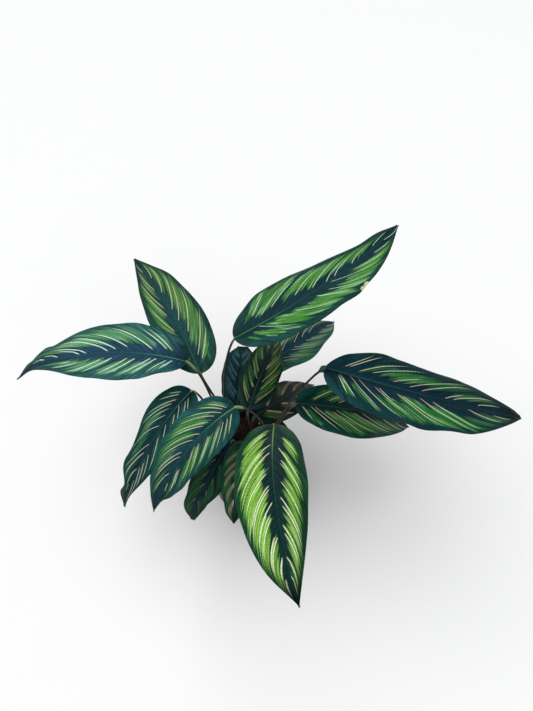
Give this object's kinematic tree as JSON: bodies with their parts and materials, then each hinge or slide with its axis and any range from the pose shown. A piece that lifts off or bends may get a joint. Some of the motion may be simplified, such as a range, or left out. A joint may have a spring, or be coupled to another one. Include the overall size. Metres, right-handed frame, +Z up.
{
  "type": "potted prayer plant with striped lance-shaped leaves",
  "caption": "Prayer plant in a plain round nursery pot: long pointed leaves, dark green with bright green bands and pink-cream pinstripes, fan out on thin dark stalks.",
  "frame": {"origin": "centre of the pot's underside, on the surface that it stands on", "axes": "+Z up; -Y is the plant's front, which faces the viewer; +X is to the viewer's right"},
  "size_m": [0.4744, 0.3507, 0.2551],
  "materials": {
    "nursery_pot": "matt black moulded polypropylene, slightly scuffed",
    "potting_mix": "loose dark peat and bark with a few white perlite grains",
    "leafstalk": "smooth dark brown petiole, light green at the joint under the blade",
    "leaf_blade": "semi-gloss leaf, dark green with bright green bands and pink-cream pinstripes, muted purple-red below"
  },
  "bodies": {
    "root": {"pot": "nursery_pot", "soil": "potting_mix", "stalk_01": "leafstalk", "stalk_02": "leafstalk", "stalk_03": "leafstalk", "stalk_04": "leafstalk", "stalk_05": "leafstalk", "stalk_06": "leafstalk", "stalk_07": "leafstalk", "stalk_08": "leafstalk", "stalk_09": "leafstalk", "stalk_10": "leafstalk", "stalk_11": "leafstalk", "stalk_12": "leafstalk", "stalk_13": "leafstalk", "stalk_14": "leafstalk", "leaf_01": "leaf_blade", "leaf_02": "leaf_blade", "leaf_03": "leaf_blade", "leaf_04": "leaf_blade", "leaf_05": "leaf_blade", "leaf_06": "leaf_blade", "leaf_07": "leaf_blade", "leaf_08": "leaf_blade", "leaf_09": "leaf_blade", "leaf_10": "leaf_blade", "leaf_11": "leaf_blade", "leaf_12": "leaf_blade", "leaf_13": "leaf_blade", "leaf_14": "leaf_blade"}
  },
  "joints": []
}
